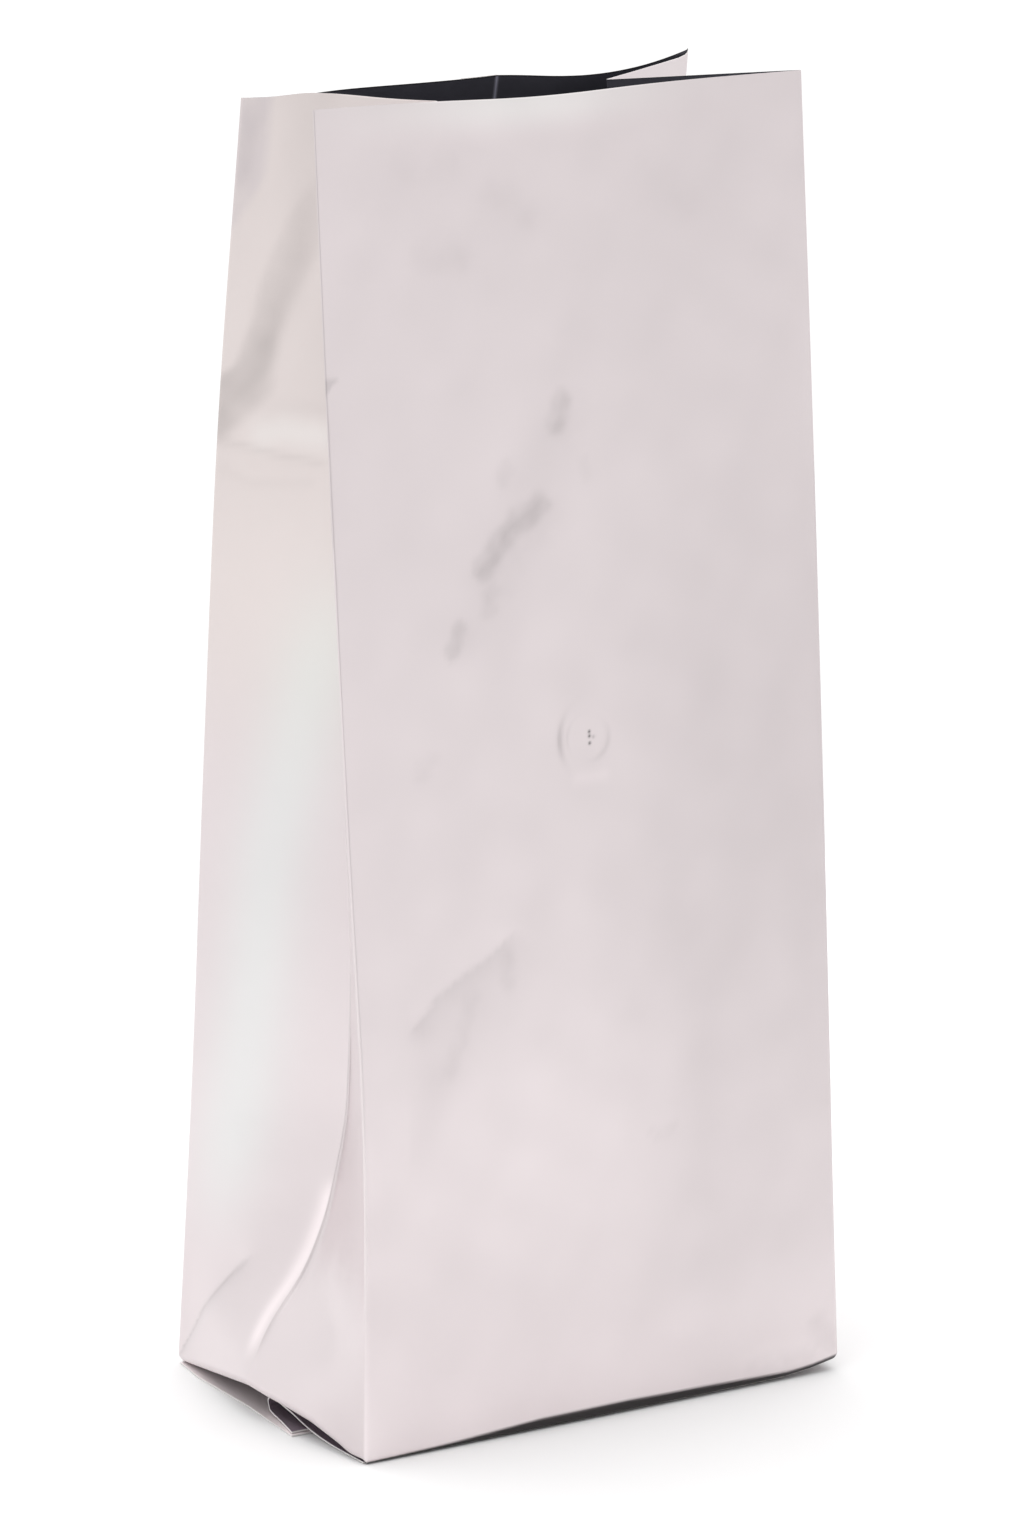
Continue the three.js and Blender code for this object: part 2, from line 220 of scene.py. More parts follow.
def wall(edges, across, t):
    """Film middle surface: rows at t, columns at (edge, across).

    Each point lies on the chord between its panel's two creases at that height, bowed
    sideways; within a crease radius of a crease the two chords are joined by a parabola.
    """
    points = np.zeros((len(t), len(edges), 3))
    corners = [crease(EDGE_ENDS[e][0], t) for e in range(6)]
    rows = t[:, None]
    for e in range(6):
        columns = edges == e
        if not columns.any():
            continue
        a = corners[e][:, None, :]
        b = corners[(e + 1) % 6][:, None, :]
        before = corners[(e + 5) % 6][:, None, :]
        after = corners[(e + 2) % 6][:, None, :]
        f = (across[columns] / EDGE_WIDTHS[e])[None, :]
        length = np.linalg.norm(b - a, axis=-1)
        from_a = (f * length)[..., None]
        from_b = ((1 - f) * length)[..., None]
        along = unit(b - a)
        start = a - unit(a - before) * ramp(-from_a, CREASE_RADIUS) + along * ramp(from_a, CREASE_RADIUS)
        end = b + unit(after - b) * ramp(-from_b, CREASE_RADIUS) - along * ramp(from_b, CREASE_RADIUS)
        near_start = (f < 0.5)[..., None]
        place = np.where(near_start, start, end)
        out = np.stack([along[..., 1], -along[..., 0], 0 * along[..., 0]], axis=-1)
        place = place + out * bow(e, f, rows)[..., None]
        place[..., 2] -= sag(e, f, rows)
        points[:, columns] = place
    return points


# ---- marks in the film: dents, creases and facets, in millimetres along its normal ----
def beside(s, h, points):
    """The line through points as seen from (s, h): how far off it is, which side (1 is to the
    left of its heading, -1 to the right), how far along it the nearest place is, and its length."""
    best = np.full(np.shape(s), 1e9)
    side = 0.0 * s
    run = 0.0 * s
    behind = 0.0
    last = len(points) - 2
    for k in range(last + 1):
        a, b = points[k], points[k + 1]
        dx, dy = b[0] - a[0], b[1] - a[1]
        length = math.hypot(dx, dy)
        free = ((s - a[0]) * dx + (h - a[1]) * dy) / length
        held = np.clip(free, -1e9 if k == 0 else 0.0, 1e9 if k == last else length)
        off = np.hypot(s - a[0] - held * dx / length, h - a[1] - held * dy / length)
        nearer = off < best
        best = np.where(nearer, off, best)
        side = np.where(nearer, np.sign(dx * (h - a[1]) - dy * (s - a[0])), side)
        run = np.where(nearer, behind + held, run)
        behind += length
    return best, side, run, behind


def ledge(s, h, points, depth, short, long, ends=5.0):
    """A sunk crease along points: -depth * exp(-distance / reach), reaching short to its left
    and long to its right, and fading over both ends. Its short side is the steep one."""
    off, side, run, length = beside(s, h, points)
    wide = ends + 1.6 * off
    fade = smooth(run / wide + 0.5) * smooth((length - run) / wide + 0.5)
    return -depth * fade * np.exp(-off / np.where(side < 0, long, short))


def ridge(s, h, points, height, width, ends=8.0):
    """A rounded ridge, or a groove where height < 0: height * exp(-(distance / width)^2), fading
    at its ends."""
    off, _, run, length = beside(s, h, points)
    fade = smooth(run / ends + 0.5) * smooth((length - run) / ends + 0.5)
    return height * fade * bump(off, width)


def dent(s, h, centre, size, depth, turn=0.0):
    """An oval dent: depth * exp(-(u^2 + v^2)), u and v in its own turned and scaled axes."""
    c, k = math.cos(turn), math.sin(turn)
    u = ((s - centre[0]) * c + (h - centre[1]) * k) / size[0]
    v = ((h - centre[1]) * c - (s - centre[0]) * k) / size[1]
    return depth * np.exp(-u * u - v * v)


def waves(s, h, seed, count, shortest, longest, tall=1.0):
    """A sum of count seeded sine waves, of random heading, each as high as its length's share."""
    draw = np.random.default_rng(seed)
    total = 0.0 * s
    for _ in range(count):
        length = shortest * (longest / shortest) ** draw.random()
        heading = draw.random() * 2 * math.pi
        phase = draw.random() * 2 * math.pi
        across = (s * math.cos(heading) + h * math.sin(heading) / tall) * 2 * math.pi / length
        total = total + np.sin(across + phase) * length / longest
    return total / math.sqrt(count)


# The front panel's long low crease, with painted shade below its line.
ARC = [(42.4, 120.8), (38.9, 117.8), (29.1, 113.3), (22.1, 109.7), (14.1, 101.5)]

NARROW_DENT = 4.6                # a dent that reaches no further than this is ragged all through
# Handling dents of the front panel, each a line from its upper end to its lower end with
# its depth, the reach of its steep side, the reach of its slow side, and how much painted
# shade it lays in and beside the dent.
FRONT_DENTS = [
    ([(57.6, 221.2), (53.4, 218.0), (49.4, 216.4), (45.8, 213.2)], 0.32, 4.9, 14.0, 0.15),
    ([(47.6, 215.2), (43.4, 210.6), (40.4, 207.6), (37.8, 204.0)], 0.36, 4.6, 16.0, 0.15),
    ([(55.0, 214.5), (48.0, 207.5), (43.0, 200.0)], 0.0, 7.0, 12.0, 0.03),
    ([(41.6, 203.4), (40.6, 199.2), (39.8, 194.6)], 0.14, 3.8, 8.0, 0.07),
    ([(33.0, 194.6), (30.8, 190.4), (29.4, 187.0)], 0.22, 3.3, 10.0, 0.13),
    ([(63.8, 244.8), (62.2, 240.4), (60.2, 235.4)], 0.20, 4.9, 12.0, 0.12),
    ([(46.9, 230.1), (45.5, 223.6)], 0.08, 3.8, 8.0, 0.055),
    ([(67.6, 229.2), (68.8, 223.2)], 0.05, 2.8, 8.0, 0.03),
    ([(40.0, 277.0), (36.0, 278.5), (30.0, 278.0), (24.0, 280.0)], 0.22, 6.0, 14.0, 0.025),
    ([(58.0, 285.0), (51.0, 290.0), (44.0, 293.5)], 0.20, 6.0, 14.0, 0.025),
    ([(38.0, 300.0), (28.0, 297.0), (20.0, 301.0)], 0.12, 6.0, 14.0, 0.02),
    ([(86.0, 297.0), (96.0, 291.0), (103.0, 283.0)], 0.12, 7.0, 14.0, 0.015),
    ([(24.0, 166.0), (18.5, 160.0)], 0.20, 4.0, 10.0, 0.03),
    (ARC, 0.42, 5.0, 16.0, 0.0),
    ([(31.0, 110.0), (29.4, 104.0), (26.0, 96.0), (23.0, 90.0)], 0.18, 3.6, 8.0, 0.04),
    ([(41.5, 118.0), (40.6, 113.0), (40.6, 108.0)], 0.18, 4.0, 6.0, 0.055),
    ([(88.0, 68.0), (83.0, 66.5), (79.0, 67.5)], 0.15, 2.4, 5.0, 0.04),
    ([(134.5, 3.0), (131.5, 7.0), (128.0, 13.0)], 0.35, 4.4, 6.0, 0.07),
    ([(128.0, 3.5), (117.0, 4.5), (108.0, 3.5)], 0.0, 5.0, 6.0, 0.05),
]


def ragged(s, h):
    """The place (s, h) shaken by short waves, so that a mark's edges wander."""
    return s + 0.6 * waves(s, h, 31, 8, 3.2, 9.0), h + 0.6 * waves(s, h, 32, 8, 3.2, 9.0)


def front_marks(s, h):
    """The front panel: its dents and creases, and the ring that the valve presses in it."""
    mark = 0.34 * waves(s, h, 11, 9, 30.0, 90.0, 1.6) + 0.055 * waves(s, h, 12, 14, 7.0, 22.0, 1.4)
    rs, rh = ragged(s, h)
    for points, depth, short, long, _ in FRONT_DENTS:
        mark = mark + ledge(rs, rh, points, depth, short, long)
    mark = mark + ridge(s, h, [(12.6, 109.8), (10.9, 67.4)], 0.22, 1.8)
    mark = mark + dent(s, h, (54.6, 56.0), (27.0, 34.0), 0.9)
    mark = mark + ridge(s, h, [(97.0, 125.0), (94.4, 25.0)], -0.55, 7.0, 20.0)
    mark = mark + dent(s, h, (117.7, 6.0), (9.0, 6.0), -0.6)
    flare = smooth((h - 300.0) / 13.0) ** 2
    mark = mark + 0.6 * flare * bump(s - 58.0, 34.0)
    return mark + valve_print(s, h)


def valve_arcs(s, h):
    """Where the film is pressed in over the valve: the left of its flange, the right of its body."""
    aside, up = s - VALVE_ACROSS, h - VALVE_UP
    away = np.hypot(aside, up)
    left = bump(away - VALVE_RING + 0.4 - 0.02 * up ** 2, 0.75) * bump(up - 0.4, 4.6) * (aside < 0)
    within = bump(away - VALVE_BODY - 0.2, 0.5) * bump(up - 1.0, 3.0) * (aside < 0)
    right = bump(away - VALVE_BODY + 0.7, 0.7) * bump(np.arctan2(up, aside) + 0.5, 0.85)
    return left, within, right


def valve_print(s, h):
    """Over the valve: the film stands a little on its flange and is pressed in at its arcs."""
    left, within, right = valve_arcs(s, h)
    away = np.hypot(s - VALVE_ACROSS, h - VALVE_UP)
    flange = 0.05 * (1 - smooth((away - VALVE_RING + 1.5) / 3.0))
    return flange - 0.30 * left - 0.08 * within - 0.12 * right


def gusset_marks(edge, s, h):
    """A half gusset: long soft waves, and on the left the creases of its foot and its folds."""
    seed = 20 + edge
    mark = 0.30 * waves(s, h, seed, 7, 26.0, 80.0, 2.4) + 0.03 * waves(s, h, seed + 10, 12, 7.0, 20.0, 1.6)
    if edge == LEFT_BACK:
        mark = mark + ledge(s, h, CORNER_CREASE, 0.7, 2.0, 10.0)
        mark = mark + ridge(s, h, FOLD_RIDGE, 0.5, 5.0, 20.0) + ridge(s, h, FOLD_GROOVE, -0.45, 3.6, 20.0)
        mark = mark + ridge(s, h, [(7.0, 311.0), (4.5, 293.0)], -0.3, 4.0, 10.0)
        mark = mark + ridge(s, h, [(8.0, 236.0), (32.0, 236.0)], 0.6, 4.2, 8.0)
        mark = mark + ledge(s, h, [(30.0, 226.0), (14.0, 228.5), (1.0, 231.5)], 0.35, 2.2, 7.0, 8.0)
        mark = mark + ridge(s, h, LOW_GROOVE, -0.15, 2.4)
    return mark


# Lines on the left back gusset half: the crease at its foot, the fold from the rim down to the
# back corner, the borders of its band of painted shade, the groove below that band, and the
# painted sheen.
CORNER_CREASE = [(25.0, 28.5), (12.5, 16.5), (8.6, 10.5), (1.0, 1.0)]
FOLD_RIDGE = [(16.0, 288.0), (12.0, 274.0), (8.0, 262.0), (4.0, 250.0)]
FOLD_GROOVE = [(24.5, 280.0), (18.5, 262.0), (13.0, 246.0), (6.0, 234.0)]
BAND_TOP = [(20.2, 292.7), (14.8, 285.0), (12.0, 278.0), (9.2, 269.8), (7.4, 258.6), (4.0, 249.4),
            (1.2, 247.7)]
BAND_FOOT = [(21.3, 285.0), (20.7, 276.8), (16.1, 265.0), (14.5, 255.5), (14.3, 243.5), (9.4, 238.2),
             (3.8, 233.3), (1.2, 231.3)]
LOW_GROOVE = [(1.0, 225.0), (10.0, 221.0), (28.0, 221.5)]
SHEEN = [(35.8, 192.8), (23.1, 131.3), (12.3, 42.3)]


def painted_light_line(s, h, points, width, ends=8.0):
    """How much of a line's painted light or shade a place takes: exp(-(distance / width)^2), fading at its
    ends.
    """
    return ridge(s, h, points, 1.0, width, ends)


def front_tint(s, h):
    """The front panel's colour factors, mostly painted light and shade: a painted highlight whiter at
    the rim, painted shade duller to the right, in its dents, along its groove and arc and in the
    shade of the fold, painted light low down and on a bar below the valve, and dark pinholes."""
    # painted highlight along the middle of the rim
    rim = smooth((h - 303.0) / 9.0) * bump(s - 56.0, 34.0)
    low = 1 - smooth((h - 130.0) / 120.0)
    mottle = 1 + 0.02 * waves(s, h, 36, 14, 8.0, 30.0, 1.5)
    # painted shade, darker to the right and more so low down
    painted_shading = 1 - (0.035 + 0.06 * low) * smooth((s - 55.0) / 50.0)
    # painted shade along the groove
    painted_shading = painted_shading * (1 - 0.025 * painted_light_line(s, h, [(97.0, 125.0), (94.4, 25.0)], 8.0, 20.0))
    # painted shade under the arc crease
    shade_under_arc = painted_light_line(s, h, [(31.0, 108.0), (22.0, 90.0), (14.5, 72.0)], 6.0, 16.0)
    painted_shading = painted_shading * (1 - 0.045 * shade_under_arc * (s > 12.0))
    rs, rh = ragged(s, h)
    # painted shade in and beside each handling dent
    dents = 0.0 * s
    for points, _, short, _, strength in FRONT_DENTS:
        shake = min(1.0, (NARROW_DENT / short) ** 3)
        at = (s + shake * (rs - s), h + shake * (rh - h))
        near = smooth(1.6 * painted_light_line(*at, points, 0.65 * short, 4.0) - 0.2)
        trail = ledge(*at, points, 1.0, 1.2 * short, 0.3 * short, 4.0)
        dents = np.maximum(dents, strength * (0.6 * near - 0.6 * trail))
    painted_shading = painted_shading * (1 - dents * (1 + 0.3 * waves(s, h, 33, 8, 3.0, 9.0)))
    # painted shade over the round dents
    round_dent_shade = painted_light_line(s, h, [(62.0, 237.0), (50.0, 218.0), (41.0, 203.0), (31.0, 190.0)], 7.0)
    painted_shading = painted_shading * (1 - 0.035 * round_dent_shade)
    # painted shade along the long low crease
    painted_shading = painted_shading * (1 + ledge(0.7 * s + 0.3 * rs, 0.7 * h + 0.3 * rh, ARC, 0.11, 5.0, 0.4))
    # painted light low down on the panel
    painted_shading = painted_shading * (1 + 0.15 * (1 - smooth((h - 2.0) / 36.0)))
    notch = smooth((3.0 - 0.75 * (253.0 - h) - s) / 0.8 + 0.5) * smooth((253.4 - h) / 0.6 + 0.5)
    painted_shading = painted_shading * (1 - 0.16 * notch)
    # painted shade in the valve's pressed-in arcs, a painted highlight on the bar below it, dark pinholes
    # and a dot beside them
    left, within, right = valve_arcs(s, h)
    bar_up = VALVE_UP - 9.3
    bar_highlight = painted_light_line(s, h, [(VALVE_ACROSS - 5.0, bar_up), (VALVE_ACROSS + 5.0, bar_up)], 1.6, 3.0)
    painted_shading = painted_shading * (1 - 0.24 * left - 0.08 * within - 0.12 * right + 0.05 * bar_highlight)
    for up in PINHOLES:
        painted_shading = painted_shading * (1 - 0.9 * bump(np.hypot(s - VALVE_ACROSS, h - VALVE_UP - up), 0.36))
    painted_shading = painted_shading * (1 - 0.3 * bump(np.hypot(s - VALVE_ACROSS - 1.1, h - VALVE_UP), 0.4))
    shade = np.interp(s, SHADE_AT, FOLD_SHADE)
    painted_shading = painted_shading * (1 - 0.95 * smooth((shade - h) / 0.8 + 0.5))
    return np.stack([painted_shading * mottle * (1 + k * rim) for k in (0.06, 0.12, 0.095)], axis=-1)


def gusset_tint(s, h):
    """The left back half's colour factors, mostly painted light and shade: a painted whiter sheen
    down it, warm and darker with painted shade near the rim, a painted highlight brighter on the
    strip beside the centre fold's foot, and painted light and shade on a patch and along creases."""
    # painted sheen: a whiter highlight down the half
    sheen = painted_light_line(s, h, SHEEN, 12.0, 40.0)
    warm = smooth((h - 135.0) / 60.0)
    # painted shade in the corner under the rim, less warm there
    corner_shade = smooth((9.0 - s) / 2.6) * smooth((h - 279.0 - 1.6 * s) / 6.0)
    corner_shade = corner_shade * (1 + 0.4 * waves(s, h, 35, 8, 4.0, 14.0))
    # painted shade in a band between its two borders
    off, side, _, _ = beside(s, h, BAND_TOP)
    under, below, _, _ = beside(s, h, BAND_FOOT)
    band_shade = smooth(off * side / 2.4 + 0.5) * smooth(-under * below / 4.6 + 0.5)
    band_shade = band_shade * (1 + 0.3 * waves(s, h, 34, 8, 5.0, 14.0))
    painted_shading = (1 - 0.09 * corner_shade) * (1 - band_shade * (0.04 + 0.13 * smooth((286.0 - h) / 42.0)))
    # painted light near the rim beside the fold
    painted_shading = painted_shading * (1 + 0.07 * smooth((s - 20.0) / 8.0) * smooth((h - 290.0) / 15.0))
    # painted shade along a crease line
    painted_shading = painted_shading * (1 - 0.07 * painted_light_line(s, h, [(2.0, 231.2), (14.0, 228.6), (30.0, 226.2)], 0.9, 4.0))
    # painted highlight on a patch, painted shade under it
    patch_highlight = painted_light_line(s, h, [(10.0, 232.2), (18.0, 234.0), (32.0, 232.4)], 3.6, 6.0)
    shade_under_patch = painted_light_line(s, h, LOW_GROOVE, 1.4, 4.0)
    painted_shading = painted_shading * (1 + 0.05 * patch_highlight) * (1 - 0.03 * shade_under_patch)
    # painted light and shade along the corner crease
    painted_shading = painted_shading * (1 + ledge(s, h, CORNER_CREASE, 0.17, 1.6, 0.3)
                   + ledge(s, h, CORNER_CREASE, 0.04, 8.0, 0.3))
    # painted highlight on the strip beside the centre fold's foot; darker towards the bottom
    strip = painted_light_line(s, h, [(46.8, 48.0), (45.8, 32.0), (43.8, 17.5), (44.0, 8.5)], 2.8, 8.0)
    painted_shading = painted_shading * (1 + 0.27 * strip) * (1 - 0.03 * smooth((90.0 - h) / 60.0))
    warm = warm * (1 - 0.8 * corner_shade) * (1 - 0.8 * patch_highlight)
    # painted light around mid height
    painted_shading = painted_shading * (1 + 0.04 * bump(h - 195.0, 30.0))
    return np.stack([
        painted_shading * (1 + 0.015 * sheen), painted_shading * (1 + 0.10 * sheen + 0.03 * patch_highlight),
        painted_shading * (1 + 0.08 * sheen - 0.035 * warm)], axis=-1)


def fold_tint(s, h):
    """The left front half's colour factors, painted shade: a dark line beside the centre fold, low
    down, and a darker patch near its foot.
    """
    painted_shading = 1 - 0.06 * bump(s - 32.0, 14.0) * bump(h - 26.0, 22.0)
    painted_shading = painted_shading - 0.16 * np.exp(-s / 0.9) * smooth((150.0 - h) / 60.0) * smooth((h - 5.0) / 8.0)
    return np.stack([painted_shading, painted_shading, painted_shading], axis=-1)


def film_tint(edges, across, heights):
    """Colour factors of the wall, mostly painted light and shade, rows by columns by red, green and blue.
    """
    total = np.ones((len(heights), len(edges), 3))
    for e, tint in ((FRONT, front_tint), (LEFT_BACK, gusset_tint), (LEFT_FRONT, fold_tint)):
        columns = edges == e
        s = across[columns][None, :] + 0.0 * heights[:, None]
        total[:, columns] = tint(s, heights[:, None] + 0.0 * s)
    return total


def rim_edge_highlight(edges, across):
    """How pale the rim's cut edge is painted, a painted highlight: most on the front's middle and
    beside the left fold.
    """
    front = smooth((across - 26.0) / 8.0) * (1 - smooth((across - 80.0) / 35.0))
    left = smooth((across - 20.0) / 8.0)
    return np.select([edges == FRONT, edges == LEFT_BACK, edges == BACK], [front, left, 0.0], 0.5)


def back_marks(s, h):
    """The back panel: soft waves, and a low ridge slanting across the seam."""
    mark = 0.32 * waves(s, h, 41, 9, 30.0, 100.0, 1.6) + 0.035 * waves(s, h, 42, 14, 7.0, 22.0, 1.4)
    return mark + ridge(s, h, [(40.0, 60.0), (96.0, 20.0)], 0.5, 4.0, 20.0)


def relief(edges, across, heights):
    """All marks on the wall, rows by columns, fading out at the creases and at the base fold."""
    total = np.zeros((len(heights), len(edges)))
    h = heights[:, None]
    for e in range(6):
        columns = edges == e
        s = across[columns][None, :] + 0.0 * h
        hh = h + 0.0 * s
        if e == FRONT:
            mark = front_marks(s, hh)
        elif e == BACK:
            mark = back_marks(s, hh)
        else:
            mark = gusset_marks(e, s, hh)
        width = EDGE_WIDTHS[e]
        near = np.minimum(s, width - s)
        mark = mark * smooth(near / (2.0 if e == FRONT else 4.0))
        if e == LEFT_BACK:
            mark = mark + fold_lip(hh) * np.exp(-(width - s) / 4.0)
        if e == LEFT_FRONT:
            mark = mark + fold_lip(hh) * np.exp(-s / 0.9)
        total[:, columns] = mark * smooth(hh / 10.0)
    return total


def fold_lip(h):
    """How proud the left centre crease stands where the gusset opens out towards its foot."""
    return 0.8 * smooth((h - 2.0) / 20.0) * (1 - smooth((h - 60.0) / 60.0))


# ---- meshes from grids ----
SHARP_ANGLE = 50.0               # degrees: an edge that turns further than this stays sharp


def add_object(name, points, faces, material_index, tint=None):
    """A mesh object at the origin from points in millimetres, shifted into the frame, smooth but
    for its cut edges. The attribute tint is a colour factor for each point."""
    mesh = bpy.data.meshes.new(name)
    placed = (np.asarray(points, float).reshape(-1, 3) + CENTRE_SHIFT) * MM
    mesh.from_pydata(placed.tolist(), [], np.asarray(faces).tolist())
    mesh.polygons.foreach_set("material_index", np.asarray(material_index, np.int32))
    mesh.shade_smooth()
    mesh.set_sharp_from_angle(angle=math.radians(SHARP_ANGLE))
    factors = np.ones((len(placed), 4))
    if tint is not None:
        factors[:, :3] = tint
    mesh.attributes.new("tint", "FLOAT_COLOR", "POINT").data.foreach_set("color", factors.ravel())
    mesh.update()
    made = bpy.data.objects.new(name, mesh)
    bpy.context.scene.collection.objects.link(made)
    return made


def grid_faces(rows, columns, close_rows=False, close_columns=False):
    """Quads of a grid, (row, column) -> next column -> next row, wrapping where it is closed."""
    r = np.arange(rows if close_rows else rows - 1)[:, None]
    c = np.arange(columns if close_columns else columns - 1)[None, :]
    up, along = (r + 1) % rows, (c + 1) % columns
    quads = [r * columns + c, r * columns + along, up * columns + along, up * columns + c]
    return np.stack([q + 0 * r + 0 * c for q in quads], axis=-1).reshape(-1, 4)


def grid_normals(points, close_columns=False):
    """Unit normals of a grid: the cross product of its two differences."""
    if close_columns:
        along = np.roll(points, -1, axis=1) - np.roll(points, 1, axis=1)
    else:
        along = np.gradient(points, axis=1)
    up = np.gradient(points, axis=0)
    return unit(np.cross(along, up))


def sheet_shell(points, thickness):
    """A closed sheet: the grid moved half the thickness out and in, joined round its border."""
    rows, columns = points.shape[:2]
    normals = grid_normals(points)
    above, below = points + normals * thickness / 2, points - normals * thickness / 2
    skins = np.concatenate([above.reshape(-1, 3), below.reshape(-1, 3)])
    count = rows * columns
    outer = grid_faces(rows, columns)
    inner = outer[:, ::-1] + count
    number = np.arange(count).reshape(rows, columns)
    border = np.concatenate([number[0, :-1], number[:-1, -1], number[-1, :0:-1], number[:0:-1, 0]])
    after = np.roll(border, -1)
    edge = np.stack([after, border, border + count, after + count], axis=-1)
    return skins, np.concatenate([outer, inner, edge]), len(outer)


# ---- the cup of film ----
FILM = 0.22
BASE_RADIUS = 1.6                # of the front and back folds; the sides' folds are tighter
SIDE_RADIUS = 0.5
SPINE = HALF_WIDTH - HALF_DEPTH
FLOOR_STEPS = 16
CURL_STEPS = 6
FINE_ROWS = 75                   # rows of the inner skin near the base that stay close together
SHADE_FOIL_LINE = -8.0                 # the floor's underside takes the dark foil, as painted shade, in front of this y
FOLD_SHADE_FOIL = (3.4, 2.8, 2.7)      # how much paler than the lining the dark foil is that stands as painted shade in the bottom's folds


def wall_heights():
    """Heights of the wall's rows: close at the base, the valve and the rim."""
    spans = [(BASE_RADIUS, 4.0, 0.4), (4.0, 12.0, 0.8), (12.0, 60.0, 1.5), (60.0, 85.0, 1.9),
             (85.0, 125.0, 1.5), (125.0, 154.0, 1.9),
             (154.0, 160.0, 0.55), (160.0, 168.0, 0.35), (168.0, 175.0, 0.55),
             (175.0, 186.0, 1.6), (186.0, 222.0, 1.0), (222.0, 255.0, 1.4), (255.0, 300.0, 2.3),
             (300.0, 312.6, 1.1), (312.6, FILM_HEIGHT, 0.4)]
    return np.unique(np.concatenate([
        np.linspace(a, b, int(round((b - a) / step)) + 1) for a, b, step in spans]))


def bottom_height(x, y, side_height, to_side):
    """Floor height: the leaves' height inside the diagonals, climbing from them to the side's arch."""
    parted = smooth((np.abs(x) - BONDED_HALF) / (HALF_WIDTH - BONDED_HALF))
    line_y = [-HALF_DEPTH, -30.0, -20.0, -11.0, -4.0, -1.0, 0.0]
    flat = np.interp(y, line_y, [0.5, 0.8, 1.2, 2.0, 2.5, 2.6, 2.6])
    rise = np.interp(y, line_y, [0.0, 0.0, 0.6, 1.7, 2.3, 2.2, 2.2])
    lifted = fold_lift(x) * np.interp(y, line_y, [1.0, 0.6, 0.3, 0.1, 0.0, 0.0, 0.0])
    front = flat + rise * parted + lifted
    back = 0.8 + (1.8 + 2.2 * parted) * smooth(1 - y / 10.0)
    bed = np.where(y < 0, front, back)
    diagonal = np.maximum(HALF_DEPTH - np.abs(y), 0.001)
    share = np.clip(1 - to_side / diagonal, 0, 1)
    return bed * (1 - share) + side_height * share


def clearance(marks, reach=4):
    """How much deeper the marks go within reach rows than in each row itself."""
    deepest = marks.copy()
    for step in range(1, reach + 1):
        deepest[:-step] = np.minimum(deepest[:-step], marks[step:])
        deepest[step:] = np.minimum(deepest[step:], marks[:-step])
    return marks - deepest


